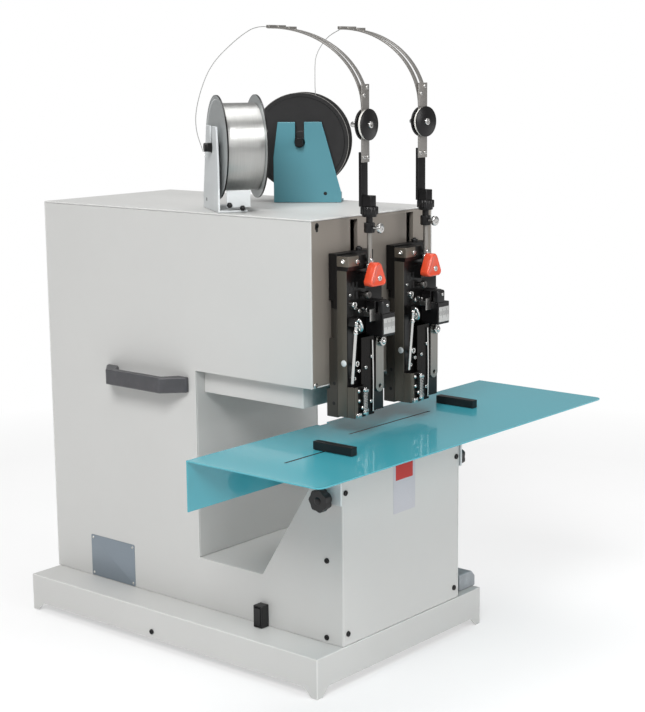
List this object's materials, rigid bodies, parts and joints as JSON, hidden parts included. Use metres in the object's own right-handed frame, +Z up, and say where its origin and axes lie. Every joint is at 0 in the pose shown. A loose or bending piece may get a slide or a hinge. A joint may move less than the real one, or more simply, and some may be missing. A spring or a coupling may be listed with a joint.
{
  "type": "booklet stitching machine",
  "caption": "Bench booklet stitcher: C-shaped casing on a tray base, paired wire-stitching heads, a slotted table that tilts into a saddle, and wire spools on the roof.",
  "frame": {"origin": "middle of the footprint of the whole machine, on the surface that it stands on", "axes": "+Z up, +X to the operator's right, the operator stands on the -Y side"},
  "size_m": [0.5834, 0.632, 0.7939],
  "materials": {
    "body_paint": "light warm grey satin powder coat",
    "satin_plate": "grey-brown satin plate",
    "inner_casting": "dark unmachined casting",
    "black_plastic": "black moulded plastic",
    "pale_blue_plastic": "pale blue-grey moulded plastic",
    "motor_paint": "grey-green enamel",
    "belt_rubber": "black belt rubber",
    "bright_steel": "bright steel",
    "teal_paint": "glossy teal enamel",
    "pale_plate": "pale grey coated sheet",
    "black_metal": "black oxide and enamel",
    "dark_plate": "dark brown-grey steel plate",
    "orange_plastic": "orange glossy plastic"
  },
  "bodies": {
    "casing": {"base_tray": "body_paint", "side_panel_left": "body_paint", "side_panel_right": "body_paint", "top_back_cover": "body_paint", "column_front_panel": "body_paint", "head_front_plate": "satin_plate", "arm_box": "body_paint", "recess_tray": "body_paint", "lower_front_cover": "body_paint", "main_frame": "inner_casting", "side_handle_left": "black_plastic", "side_handle_right": "black_plastic", "power_switch_housing": "black_plastic", "connection_box": "pale_blue_plastic", "motor": "motor_paint", "drive_belt": "belt_rubber", "clincher_guide": "inner_casting", "spool_bracket_left": "pale_plate", "spool_bracket_right": "teal_paint", "spindle_left": "black_metal", "spindle_right": "black_metal", "stitch_wire_1": "bright_steel", "stitch_wire_2": "bright_steel", "head_plate_1": "dark_plate", "head_body_1": "black_metal", "thickness_block_1": "black_metal", "arm_post_1": "black_metal", "arch_arm_1": "bright_steel", "head_plate_2": "dark_plate", "head_body_2": "black_metal", "thickness_block_2": "black_metal", "arm_post_2": "black_metal", "arch_arm_2": "bright_steel"},
    "rocker": {"power_rocker": "black_plastic"},
    "motor_rotor": {"motor_pulley": "bright_steel"},
    "main_shaft": {"flywheel": "inner_casting", "crankshaft": "bright_steel"},
    "beam": {"drive_beam": "inner_casting"},
    "clincher": {"clincher_bar": "bright_steel"},
    "table_top": {"table": "teal_paint", "table_bracket_left": "pale_plate", "table_bracket_right": "pale_plate"},
    "guide_left": {"paper_guide_left": "black_plastic"},
    "guide_right": {"paper_guide_right": "black_plastic"},
    "knob_left": {"star_knob_left": "black_plastic"},
    "spool_left": {"wire_spool_left": "pale_plate", "wire_winding_left": "bright_steel"},
    "knob_right": {"star_knob_right": "black_plastic"},
    "spool_right": {"wire_spool_right": "black_metal", "wire_winding_right": "bright_steel"},
    "driver_1": {"driver_slide_1": "bright_steel"},
    "link_1": {"feed_link_1": "bright_steel"},
    "lever_1": {"thickness_lever_1": "orange_plastic"},
    "thumb_1": {"thumb_screw_1": "bright_steel"},
    "felt_1": {"felt_wheel_1": "black_plastic"},
    "driver_2": {"driver_slide_2": "bright_steel"},
    "link_2": {"feed_link_2": "bright_steel"},
    "lever_2": {"thickness_lever_2": "orange_plastic"},
    "thumb_2": {"thumb_screw_2": "bright_steel"},
    "felt_2": {"felt_wheel_2": "black_plastic"}
  },
  "joints": [
    {"name": "table_tilt", "type": "hinge", "parent": "casing", "child": "table_top", "pos_m": [0, -0.15, 0.228], "axis": [1, 0, 0], "range_deg": [0, 45]},
    {"name": "guide_left_slide", "type": "slide", "parent": "table_top", "child": "guide_left", "axis": [1, 0, 0], "range_m": [-0.06, 0.007]},
    {"name": "guide_right_slide", "type": "slide", "parent": "table_top", "child": "guide_right", "axis": [0, 1, 0], "range_m": [-0.014, 0.014]},
    {"name": "drive_beam_stroke", "type": "slide", "parent": "casing", "child": "beam", "axis": [0, 0, -1], "range_m": [0, 0.014]},
    {"name": "clincher_rise", "type": "slide", "parent": "casing", "child": "clincher", "axis": [0, 0, 1], "range_m": [0, 0.009]},
    {"name": "main_shaft_spin", "type": "hinge", "parent": "casing", "child": "main_shaft", "pos_m": [0, 0.256, 0.47], "axis": [0, 1, 0], "continuous": true},
    {"name": "motor_spin", "type": "hinge", "parent": "casing", "child": "motor_rotor", "pos_m": [0, 0.256, 0.205], "axis": [0, 1, 0], "continuous": true},
    {"name": "power_rocker_tip", "type": "hinge", "parent": "casing", "child": "rocker", "pos_m": [-0.1326, -0.078, 0.06565], "axis": [0, 1, 0], "range_deg": [-9, 9]},
    {"name": "star_knob_left_turn", "type": "hinge", "parent": "casing", "child": "knob_left", "pos_m": [-0.136, -0.186, 0.236], "axis": [1, 0, 0], "range_deg": [0, 270]},
    {"name": "spool_left_spin", "type": "hinge", "parent": "casing", "child": "spool_left", "pos_m": [-0.0695, 0.003, 0.645], "axis": [0.829, -0.5592, 0], "continuous": true},
    {"name": "star_knob_right_turn", "type": "hinge", "parent": "casing", "child": "knob_right", "pos_m": [0.136, -0.186, 0.236], "axis": [1, 0, 0], "range_deg": [0, 270]},
    {"name": "spool_right_spin", "type": "hinge", "parent": "casing", "child": "spool_right", "pos_m": [0.0825, 0.0255, 0.645], "axis": [0.829, 0.5592, 0], "continuous": true},
    {"name": "driver_1_stroke", "type": "slide", "parent": "casing", "child": "driver_1", "axis": [0, 0, -1], "range_m": [0, 0.014]},
    {"name": "feed_link_1_swing", "type": "hinge", "parent": "casing", "child": "link_1", "pos_m": [-0.0295, -0.19, 0.414], "axis": [0, -1, 0], "range_deg": [0, 11.6]},
    {"name": "thickness_lever_1_turn", "type": "hinge", "parent": "casing", "child": "lever_1", "pos_m": [-0.059, -0.205, 0.492], "axis": [0, 1, 0], "range_deg": [-25, 25]},
    {"name": "thumb_screw_1_turn", "type": "hinge", "parent": "casing", "child": "thumb_1", "pos_m": [-0.053, -0.195, 0.554], "axis": [-0.0872, 0.9962, 0], "range_deg": [0, 270]},
    {"name": "felt_wheel_1_spin", "type": "hinge", "parent": "casing", "child": "felt_1", "pos_m": [-0.053, -0.195, 0.675], "axis": [-0.0872, 0.9962, 0], "continuous": true},
    {"name": "driver_2_stroke", "type": "slide", "parent": "casing", "child": "driver_2", "axis": [0, 0, -1], "range_m": [0, 0.014]},
    {"name": "feed_link_2_swing", "type": "hinge", "parent": "casing", "child": "link_2", "pos_m": [0.0825, -0.19, 0.414], "axis": [0, -1, 0], "range_deg": [0, 11.6]},
    {"name": "thickness_lever_2_turn", "type": "hinge", "parent": "casing", "child": "lever_2", "pos_m": [0.053, -0.205, 0.492], "axis": [0, 1, 0], "range_deg": [-25, 25]},
    {"name": "thumb_screw_2_turn", "type": "hinge", "parent": "casing", "child": "thumb_2", "pos_m": [0.059, -0.195, 0.554], "axis": [0.0872, 0.9962, 0], "range_deg": [0, 270]},
    {"name": "felt_wheel_2_spin", "type": "hinge", "parent": "casing", "child": "felt_2", "pos_m": [0.059, -0.195, 0.675], "axis": [0.0872, 0.9962, 0], "continuous": true}
  ],
  "couplings": [
    {"joint": "clincher_rise", "follows": "drive_beam_stroke", "ratio": 0.64286},
    {"joint": "motor_spin", "follows": "main_shaft_spin", "ratio": 3.5455},
    {"joint": "driver_1_stroke", "follows": "drive_beam_stroke", "ratio": 1},
    {"joint": "feed_link_1_swing", "follows": "drive_beam_stroke", "rad_per_m": 14.286},
    {"joint": "driver_2_stroke", "follows": "drive_beam_stroke", "ratio": 1},
    {"joint": "feed_link_2_swing", "follows": "drive_beam_stroke", "rad_per_m": 14.286}
  ]
}
